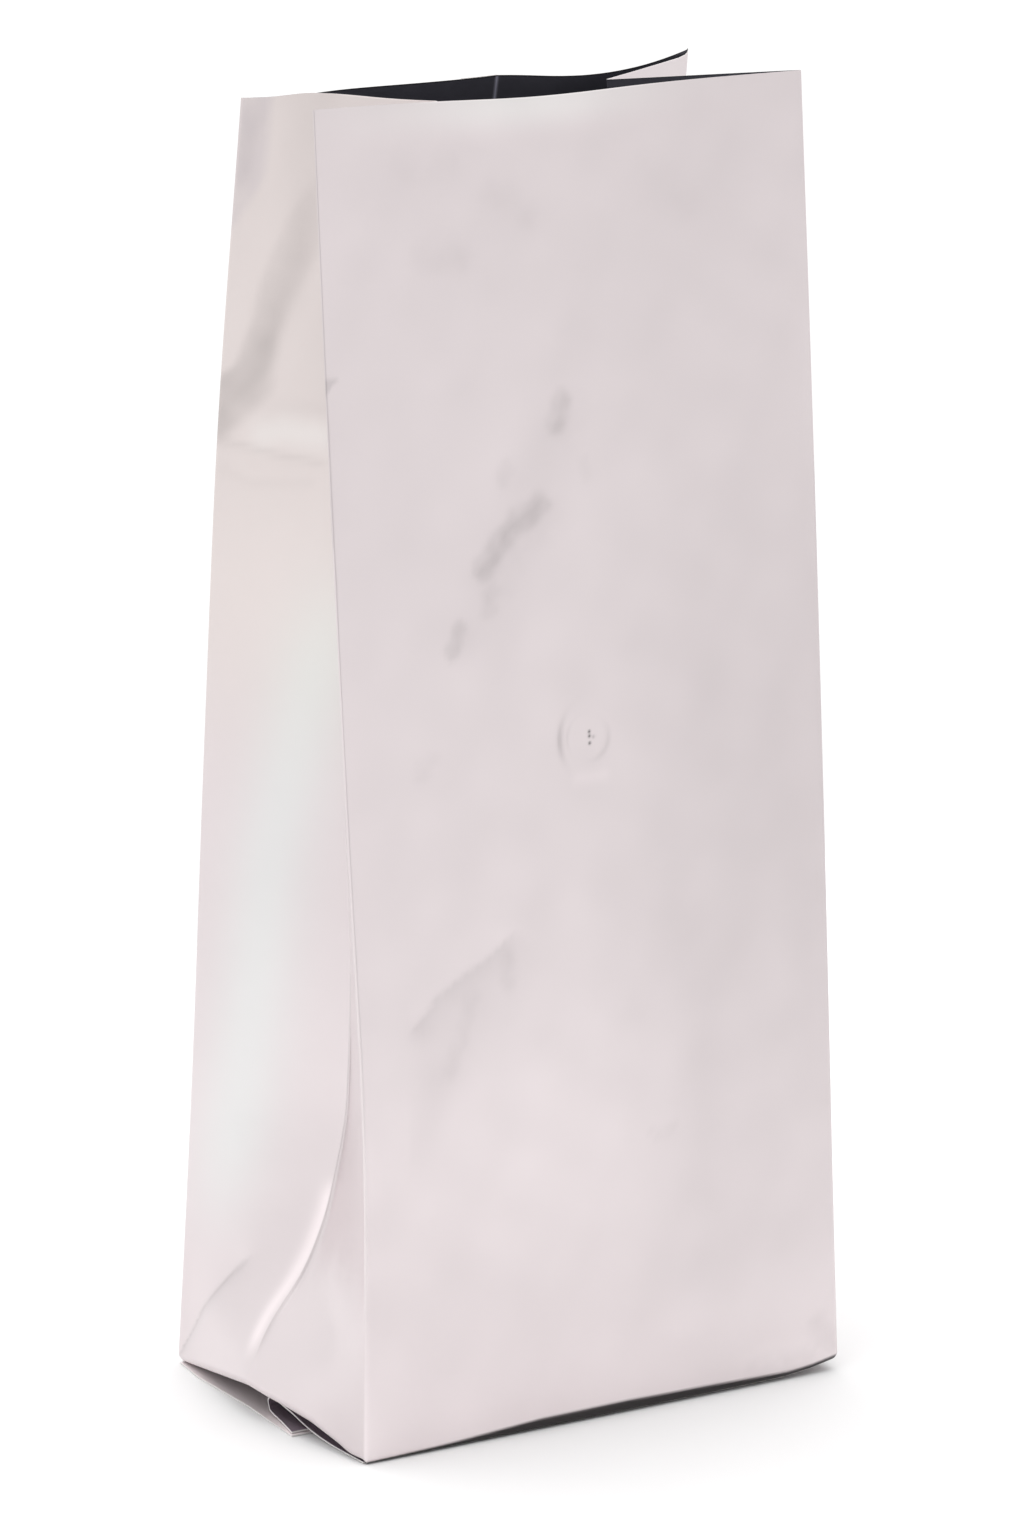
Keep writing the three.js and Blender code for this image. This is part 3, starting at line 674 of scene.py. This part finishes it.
def build_cup():
    """The film: floor, wall and rim as one closed grid, outside and inside.

    Rows run from the floor's middle line out to the base fold, round its curl, up the wall to
    the rim, then back down inside. Columns run round the bag, anticlockwise from above.
    """
    edges, across = [], []
    front_dense = [(24.0, 55.4, 1.1), (56.0, 77.0, 0.6), (65.3, 67.6, 0.3)]
    spans = [
        (FRONT, column_places(PANEL_WIDTH, 1.9, front_dense)),
        (RIGHT_FRONT, column_places(GUSSET_HALF, 3.4)), (RIGHT_BACK, column_places(GUSSET_HALF, 3.4)),
        (BACK, column_places(PANEL_WIDTH, 3.4, [(66.7, 68.3, 0.4)])),
        (LEFT_BACK, column_places(GUSSET_HALF, 1.4)), (LEFT_FRONT, column_places(GUSSET_HALF, 1.8))]
    for e, places in spans:
        edges += [e] * (len(places) - 1)
        across += list(places[:-1])
    edges, across = np.array(edges), np.array(across)
    heights = wall_heights()
    t = heights / FILM_HEIGHT
    upright = wall(edges, across, t)
    normals = grid_normals(upright, close_columns=True)
    marks = relief(edges, across, heights)
    upright = upright + normals * marks[..., None]
    normals = grid_normals(upright, close_columns=True)

    foot = upright[0]
    outward = unit(normals[0] * [1, 1, 0])
    sides = np.isin(edges, [RIGHT_FRONT, RIGHT_BACK, LEFT_BACK, LEFT_FRONT])
    widths = np.array(EDGE_WIDTHS)[edges]
    from_corner = np.where(np.isin(edges, [RIGHT_FRONT, LEFT_BACK]), across, widths - across)
    tight = np.where(sides, smooth(from_corner / 2.5), 0.0)
    radius = (BASE_RADIUS * (1 - tight) + SIDE_RADIUS * tight)[:, None]
    low = foot[:, 2] - BASE_RADIUS
    angles = np.linspace(math.pi / 2, 0, CURL_STEPS + 1)[:-1]
    curl = np.stack([foot - outward * radius * (1 - math.cos(a))
                     - np.array([0, 0, BASE_RADIUS * math.sin(a)]) for a in angles])
    curl_normals = np.stack([outward * math.cos(a) - np.array([0, 0, math.sin(a)]) for a in angles])

    inset = curl[0]
    spine = np.stack([np.clip(inset[:, 0], -SPINE, SPINE), 0 * inset[:, 0], 0 * inset[:, 0]], axis=-1)
    share = (np.linspace(0, 1, FLOOR_STEPS + 1)[:-1] ** 0.8)[:, None, None]
    floor = spine * (1 - share) + inset * share
    side_x = np.abs(inset[:, 0])[None, :]
    to_side = side_x - np.abs(floor[..., 0])
    height = bottom_height(floor[..., 0], floor[..., 1], low[None, :] + 0.15,
                           np.where(sides[None, :], to_side, 99.0))
    meet = smooth((1 - share[..., 0]) * FLOOR_STEPS / 2.5)
    floor[..., 2] = height * meet + low[None, :] * (1 - meet)
    floor_normals = np.zeros_like(floor) - [0, 0, 1]

    middle = np.concatenate([floor, curl, upright])
    facing = np.concatenate([floor_normals, curl_normals, normals])
    rows = len(middle)
    kept = set(range(0, FINE_ROWS, 3)) | set(range(FINE_ROWS, rows, 4)) | {rows - 2, rows - 1}
    inner_rows = np.array(sorted(kept))[::-1]
    outer = middle + facing * FILM / 2
    behind = middle.copy()
    behind[-len(heights):] -= normals * clearance(marks)[..., None]
    inner = (behind - facing * FILM / 2)[inner_rows]
    points = np.concatenate([outer, inner])
    columns = len(edges)
    faces = grid_faces(len(points), columns, close_rows=True, close_columns=True)
    row = faces[:, 0] // columns
    index = np.where(row < rows - 1, 0, np.where(row == rows - 1, 2, 1))
    # the floor's underside in front of the line takes the dark foil as painted shade
    shade_foil_faces = (row < FLOOR_STEPS) & (points.reshape(-1, 3)[faces[:, 0], 1] < SHADE_FOIL_LINE)
    index = np.where(shade_foil_faces, 1, index)
    tint = np.ones(points.shape)
    curl_heights = BASE_RADIUS * (1 - np.sin(angles))
    tint[FLOOR_STEPS:rows] = film_tint(edges, across, np.concatenate([curl_heights, heights]))
    front_part = floor[..., 1:2] < SHADE_FOIL_LINE
    # painted shade under the floor: paler dark foil in front, elsewhere darker towards the base fold
    tint[:FLOOR_STEPS] = np.where(front_part, FOLD_SHADE_FOIL, 1 - 0.76 * smooth((share - 0.2) / 0.7))
    tint[rows:] = 1 + 5.0 * ((edges == BACK) * bump(across - HALF_WIDTH, 0.4))[:, None]
    # painted highlight on the rim's cut edge, and a little on the row below it
    tint[rows] = rim_edge_highlight(edges, across)[:, None]
    tint[rows - 1] *= 1 + 0.2 * tint[rows]
    return add_object("bag_film", points, faces, index, tint.reshape(-1, 3))


# ---- the leaves of the bottom, with the folded end seal ----
LEAF = 0.4
FIN = 0.35
LEAF_TURN = 0.6                  # share of the front leaf's line before its turn at mid-depth


def front_leaf_grid():
    """The front leaf: a smooth line in (y, z) for each x, its tucked seal reaching out at both ends."""
    ys = np.array([-44.0, -30.0, -20.0, -11.0, -4.0, -1.0, 0.0, -1.0, -3.0, -11.0, -SEAL_TUCK])
    flat = np.array([0.3, 0.45, 0.75, 1.5, 1.95, 2.0, 1.6, 1.15, 1.0, 0.95, 0.95])
    rise = np.array([0.0, 0.0, 0.6, 1.7, 2.3, 2.2, 1.6, 0.8, 0.35, 0.1, 0.0])
    lift = np.array([1.0, 0.6, 0.3, 0.1, 0, 0, 0, 0, 0, 0, 0])
    reach = np.array([0, 0, 0, 0, 0, 0, 0.0, 0.3, 0.9, 2.4, 4.0])
    along = np.linspace(0, 1, 90)
    share = np.linspace(0, 1, 72)
    x = (-HALF_WIDTH + 0.4) * (1 - share) + (HALF_WIDTH - 1.2) * share
    parted = smooth((np.abs(x) - BONDED_HALF) / (HALF_WIDTH - BONDED_HALF))
    y = through(ys, along)[:, None] + 0 * x
    z = (through(flat, along)[:, None] + through(rise, along)[:, None] * parted
         + through(lift, along)[:, None] * fold_lift(x))
    flare = np.sign(x) * smooth(np.abs(x) / HALF_WIDTH) ** 4
    xs = x + through(reach, along)[:, None] * flare
    ribs = np.clip((along - 0.62) / 0.03, 0, 1)[:, None]
    z = z + 0.07 * ribs * np.sin(2 * math.pi * y / 1.5)
    return np.stack([xs, y, z], axis=-1)


def back_leaf_grid():
    """The back leaf: flat on the ground, its ends slanting out to the seal's tips."""
    y = np.linspace(HALF_DEPTH - 1.6, -SEAL_TUCK - 0.6, 70)
    left = np.interp(-y, [-45.7, -31.7, -17.3, -6.2, 5.4, 18.6],
                     [-66.1, -68.4, -68.8, -69.1, -70.3, -71.5])
    right = np.interp(-y, [-45.7, 18.6], [68.5, 70.7])
    share = np.linspace(0, 1, 60)[None, :]
    x = left[:, None] * (1 - share) + right[:, None] * share
    ribs = smooth((3.0 - y) / 1.5)[:, None]
    z = 0.32 + 0.07 * ribs * np.sin(2 * math.pi * y / 1.5)[:, None] + 0 * x
    return np.stack([x, y[:, None] + 0 * x, z], axis=-1)[::-1]


def seam_fin_grid():
    """The seam fin: a strip from the back's seam towards -X, lying off the panel by a wavy gap."""
    heights = np.linspace(2.2, FILM_HEIGHT, 240)
    t = heights / FILM_HEIGHT
    places = PANEL_WIDTH / 2 + np.concatenate([[-0.6], np.linspace(0, SEAM_FIN, 14)])
    edges = np.full(len(places), BACK)
    panel = wall(edges, places, t)
    panel = panel + grid_normals(panel) * relief(edges, places, heights)[..., None]
    normals = grid_normals(panel)
    share = np.clip((places - PANEL_WIDTH / 2) / SEAM_FIN, 0, 1)[None, :]
    wave = 0.22 * waves(0 * heights, heights, 51, 5, 18.0, 70.0)[:, None]
    ribs = 0.05 * np.sin(2 * math.pi * heights / 1.6)[:, None]
    gap = 0.45 + share * (0.25 + wave) + ribs * smooth(share * 6)
    gap = np.where(places[None, :] < PANEL_WIDTH / 2, 0.2, gap)
    return panel + normals * gap[..., None]


# ---- materials ----
class Socket:
    """An output in a node tree. Arithmetic on it adds Math nodes."""

    def __init__(self, tree, output):
        self.tree = tree
        self.output = output

    def math(self, operation, first, second):
        return self.tree.node("ShaderNodeMath", {"operation": operation}, {0: first, 1: second})

    def __add__(self, other):
        return self.math("ADD", self, other)

    def __sub__(self, other):
        return self.math("SUBTRACT", self, other)

    def __mul__(self, other):
        return self.math("MULTIPLY", self, other)

    def __rsub__(self, other):
        return self.math("SUBTRACT", other, self)

    __radd__ = __add__
    __rmul__ = __mul__


class Nodes:
    """A node tree with one method that makes any node."""

    def __init__(self, tree):
        self.nodes = tree.nodes
        self.links = tree.links

    def feed(self, socket, value):
        if isinstance(value, Socket):
            self.links.new(value.output, socket)
        else:
            socket.default_value = value

    def node(self, kind, settings, inputs, output=0):
        made = self.nodes.new(kind)
        for name, value in settings.items():
            setattr(made, name, value)
        for socket, value in inputs.items():
            self.feed(made.inputs[socket], value)
        return Socket(self, made.outputs[output])

    def step(self, value, low, high):
        """A smooth step of value from 0 at low to 1 at high."""
        return self.node("ShaderNodeMapRange", {"interpolation_type": "SMOOTHSTEP"}, {
            "Value": value, "From Min": low, "From Max": high})


class Finish(Nodes):
    """A new material: its nodes and its shader."""

    def __init__(self, name, **constants):
        self.material = bpy.data.materials.new(name)
        self.material.use_nodes = True
        super().__init__(self.material.node_tree)
        self.shader = self.nodes["Principled BSDF"]
        for socket, value in constants.items():
            self.shader.inputs[socket.replace("_", " ")].default_value = value

    def set(self, socket, value):
        self.feed(self.shader.inputs[socket], value)

    def noise(self, scale, detail=3.0, rough=0.5):
        """A noise from 0 to 1, scale waves to the metre."""
        spot = self.node("ShaderNodeTexCoord", {}, {}, "Object")
        return self.node("ShaderNodeTexNoise", {}, {
            "Vector": spot, "Scale": scale, "Detail": detail, "Roughness": rough}, "Fac")

    def blend(self, factor, first, second):
        """The colour between first and second at a factor."""
        return self.node("ShaderNodeMix", {"data_type": "RGBA"}, {
            0: factor, 6: first + (1.0,), 7: second + (1.0,)}, 2)

    def tinted(self, colour):
        """Base Color: a colour times the mesh's tint."""
        tint = self.node("ShaderNodeAttribute", {"attribute_name": "tint"}, {}, "Color")
        self.set("Base Color", self.node("ShaderNodeMix", {"data_type": "RGBA", "blend_type": "MULTIPLY"}, {
            0: 1.0, 6: colour, 7: tint}, 2))

    def bump(self, height, distance, strength=1.0):
        return self.node("ShaderNodeBump", {}, {
            "Height": height, "Distance": distance, "Strength": strength})


def lighter(colour, factor):
    return tuple(min(1.0, c * factor) for c in colour)


def pearl_finish(name, colour, roughness, metallic=0.8):
    """Pearl film: satin and metallic, cloudy by a few percent, with faint handling marks."""
    finish = Finish(name, Metallic=metallic, IOR=1.5)
    cloud = finish.noise(22.0, 4.0)
    finish.tinted(finish.blend(cloud, lighter(colour, 0.965), lighter(colour, 1.035)))
    finish.set("Roughness", roughness - 0.05 + finish.noise(60.0, 5.0, 0.6) * 0.10)
    grain = finish.noise(900.0, 2.0) * 0.06 + finish.noise(70.0, 4.0, 0.5)
    finish.set("Normal", finish.bump(grain, 0.0003, 0.35))
    return finish.material


def foil_finish(name, colour):
    """Dark foil: smoother and darker, with soft rubs."""
    finish = Finish(name, Metallic=0.5, IOR=1.45)
    cloud = finish.noise(35.0, 4.0)
    finish.tinted(finish.blend(cloud, lighter(colour, 0.85), lighter(colour, 1.2)))
    finish.set("Roughness", 0.42 + finish.noise(80.0, 5.0, 0.6) * 0.12)
    finish.set("Normal", finish.bump(finish.noise(160.0, 4.0, 0.55), 0.0004, 0.5))
    return finish.material


def edge_finish(name):
    """The film's cut edge: pale and matt."""
    finish = Finish(name, Metallic=0.0)
    finish.tinted(finish.blend(finish.noise(300.0), (0.66, 0.63, 0.62), (0.78, 0.76, 0.75)))
    finish.set("Roughness", 0.45 + finish.noise(500.0) * 0.1)
    return finish.material


def valve_finish(name):
    """Moulded polyethylene: off-white, fine grain."""
    finish = Finish(name, Metallic=0.0, IOR=1.5)
    finish.set("Base Color", finish.blend(finish.noise(90.0), (0.78, 0.76, 0.70), (0.85, 0.83, 0.78)))
    finish.set("Roughness", 0.42 + finish.noise(200.0) * 0.12)
    finish.set("Normal", finish.bump(finish.noise(2500.0, 2.0), 0.00005, 0.6))
    return finish.material


def dress(obj, *materials):
    for material in materials:
        obj.data.materials.append(material)
    return obj


def sheet_piece(name, grid, thickness, materials, index=0):
    """A closed sheet of film; index picks a material for each quad of its two skins, and its
    cut edge takes the last of the materials."""
    skins, faces, per_skin = sheet_shell(grid, thickness)
    border = np.arange(len(faces)) >= 2 * per_skin
    slots = np.where(border, len(materials) - 1, 0)
    slots[~border] = index
    obj = add_object(name, skins, faces, slots)
    dress(obj, *materials)
    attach(obj, "root")
    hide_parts("film")
    return obj


# ---- sizes and colours a user would change ----
class FilmSettings(bpy.types.PropertyGroup):
    """The film's finish."""

    colour: bpy.props.FloatVectorProperty(
        name="Film colour", description="Outside of the film", subtype="COLOR",
        default=(0.735, 0.668, 0.678), min=0.0, max=1.0)
    roughness: bpy.props.FloatProperty(
        name="Film roughness", description="How satin the outside is", default=0.30, min=0.1, max=0.9)
    lining: bpy.props.FloatVectorProperty(
        name="Lining colour", description="Foil inside the bag", subtype="COLOR",
        default=(0.086, 0.084, 0.104), min=0.0, max=1.0)


class StageSettings(bpy.types.PropertyGroup):
    """The studio's lights and camera."""

    room: bpy.props.FloatProperty(
        name="Room", description="Brightness of the room in front", default=1.05, min=0.0)
    backdrop: bpy.props.FloatProperty(
        name="Backdrop", description="How much brighter the room is behind", default=0.02, min=0.0)
    camera_side: bpy.props.FloatProperty(
        name="Camera side", description="How much darker it is round the camera",
        default=0.34, min=0.0)
    dim: bpy.props.FloatProperty(
        name="Upper walls", description="How much darker the front walls are higher up",
        default=0.50, min=0.0)
    ceiling: bpy.props.FloatProperty(
        name="Ceiling", description="How much brighter the room is overhead", default=0.9, min=0.0)
    overhead: bpy.props.FloatProperty(
        name="Overhead light", description="Power of the overhead softbox", default=12.0, min=0.0)
    lens: bpy.props.FloatProperty(
        name="Lens", description="Focal length in millimetres", default=146.87, min=20.0)


class BAG_OT_film(bpy.types.Operator):
    """Build the bag's film: wall, gussets, rim and floor"""

    bl_idname = "bag.film"
    bl_label = "Film"

    def execute(self, context):
        look = context.scene.bag_film
        cup = build_cup()
        dress(cup, pearl_finish("pearl_film", tuple(look.colour), look.roughness),
              foil_finish("dark_foil", tuple(look.lining)), edge_finish("cut_edge"))
        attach(cup, "root")
        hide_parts("film")
        return {"FINISHED"}


class BAG_OT_seals(bpy.types.Operator):
    """Build the bottom's two leaves with the folded end seal, and the seam fin on the back"""

    bl_idname = "bag.seals"
    bl_label = "Seals"

    def execute(self, context):
        film = bpy.data.materials["pearl_film"]
        edge = bpy.data.materials["cut_edge"]
        look = context.scene.bag_film
        # dark foil, paler than the lining, as painted shade on the front leaf's faces in the pocket above
        # it and inside its turn
        foil = foil_finish("painted_fold_shade", tuple(c * f for c, f in zip(look.lining, FOLD_SHADE_FOIL)))
        # the back leaf: the film's colour painted lighter as painted light, and less metallic
        leaf = pearl_finish("leaf_film_painted_lighter", lighter(look.colour, 1.3), look.roughness, 0.1)
        front = front_leaf_grid()
        y = front[:-1, :-1, 1].reshape(-1)
        first_run = (np.arange(len(y)) // (front.shape[1] - 1)) < LEAF_TURN * len(front)
        upper = np.where(first_run & (y < -0.5), 1, 0)
        lower = np.where(y > -SEAL_TUCK + 0.5, 1, 0)
        sheet_piece("front_leaf", front, LEAF, (film, foil, edge), np.concatenate([upper, lower]))
        sheet_piece("back_leaf", back_leaf_grid(), LEAF, (leaf, edge))
        sheet_piece("seam_fin", seam_fin_grid(), FIN, (film, edge))
        return {"FINISHED"}


class BAG_OT_valve(bpy.types.Operator):
    """Give the valve its moulded plastic"""

    bl_idname = "bag.valve"
    bl_label = "Valve"

    def execute(self, context):
        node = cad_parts["valve"]
        node.data.materials.clear()
        node.data.materials.append(valve_finish("valve_plastic"))
        return {"FINISHED"}


FLOOR_SPAN = 0.4                 # metres from the bag to each side of the floor
CAMERA_AT = (-0.7722, -1.22315, 0.4716)
CAMERA_AIM = (0.00053, 0.00115, 0.1513)


def area_light(name, place, aim, size, power):
    data = bpy.data.lights.new(name, "AREA")
    data.size = size
    data.energy = power
    made = bpy.data.objects.new(name, data)
    made.location = place
    look_at(made, aim)
    bpy.context.scene.collection.objects.link(made)
    return made


def look_at(made, aim):
    direction = Vector(aim) - Vector(made.location)
    made.rotation_euler = direction.to_track_quat("-Z", "Y").to_euler()


class BAG_OT_stage(bpy.types.Operator):
    """Set the white floor, the room light, the overhead softbox and the camera"""

    bl_idname = "bag.stage"
    bl_label = "Stage"

    def execute(self, context):
        look = context.scene.bag_stage
        mesh = bpy.data.meshes.new("floor")
        corners = [(x * FLOOR_SPAN, y * FLOOR_SPAN, 0) for x, y in ((-1, -1), (1, -1), (1, 1), (-1, 1))]
        mesh.from_pydata(corners, [], [(0, 1, 2, 3)])
        floor = bpy.data.objects.new("floor", mesh)
        context.scene.collection.objects.link(floor)
        paint = Finish("floor_paint", Roughness=0.9, Specular_IOR_Level=0.2)
        paint.set("Base Color", (0.82, 0.82, 0.82, 1.0))
        floor.data.materials.append(paint.material)
        self.room(context, look)
        area_light("overhead", (-0.1, -0.15, 1.9), (0, 0, 0.1), 2.0, look.overhead)
        camera = bpy.data.cameras.new("camera")
        camera.lens = look.lens
        camera.sensor_width = 36.0
        camera.clip_end = 50.0
        seat = bpy.data.objects.new("camera", camera)
        seat.location = CAMERA_AT
        look_at(seat, CAMERA_AIM)
        context.scene.collection.objects.link(seat)
        context.scene.camera = seat
        context.scene.view_settings.view_transform = "Standard"
        return {"FINISHED"}

    def room(self, context, look):
        """The room's brightness by heading: more behind and overhead, less round the camera and
        on the upper walls in front. Each change is a smooth step."""
        world = bpy.data.worlds.new("room")
        world.use_nodes = True
        context.scene.world = world
        tree = Nodes(world.node_tree)
        heading = tree.node("ShaderNodeTexCoord", {}, {}, "Generated")
        x, y, z = (tree.node("ShaderNodeSeparateXYZ", {}, {0: heading}, axis) for axis in "XYZ")
        behind = tree.step(y, -0.5, 0.6) * look.backdrop
        to_camera = tree.step(x * -0.53 + y * -0.85, 0.80, 1.0) * look.camera_side
        walls = tree.step(z, 0.04, 0.45) * tree.step(y, 0.3, -0.3) * look.dim
        overhead = tree.step(z, 0.45, 0.95) * look.ceiling
        right = tree.step(x, 0.45, 0.8) * 0.06
        back = world.node_tree.nodes["Background"]
        back.inputs["Color"].default_value = (1.0, 1.0, 1.0, 1.0)
        tree.feed(back.inputs["Strength"], behind + look.room - to_camera - walls + overhead - right)


class BAG_PT_panel(bpy.types.Panel):
    """The bag's pieces and settings"""

    bl_label = "Coffee Bag"
    bl_space_type = "VIEW_3D"
    bl_region_type = "UI"
    bl_category = "Coffee Bag"

    def draw(self, context):
        for group in (context.scene.bag_film, context.scene.bag_stage):
            for name in group.bl_rna.properties.keys():
                if name not in ("rna_type", "name"):
                    self.layout.prop(group, name)
        for operator in OPERATORS:
            self.layout.operator(operator.bl_idname)


OPERATORS = (BAG_OT_film, BAG_OT_seals, BAG_OT_valve, BAG_OT_stage)
CLASSES = (FilmSettings, StageSettings) + OPERATORS + (BAG_PT_panel,)


def register():
    for kind in CLASSES:
        bpy.utils.register_class(kind)
    bpy.types.Scene.bag_film = bpy.props.PointerProperty(type=FilmSettings)
    bpy.types.Scene.bag_stage = bpy.props.PointerProperty(type=StageSettings)


def unregister():
    del bpy.types.Scene.bag_stage
    del bpy.types.Scene.bag_film
    for kind in reversed(CLASSES):
        bpy.utils.unregister_class(kind)


def main():
    register()
    bpy.ops.bag.film()
    bpy.ops.bag.seals()
    bpy.ops.bag.valve()
    bpy.ops.bag.stage()


if __name__ == "__main__":
    main()
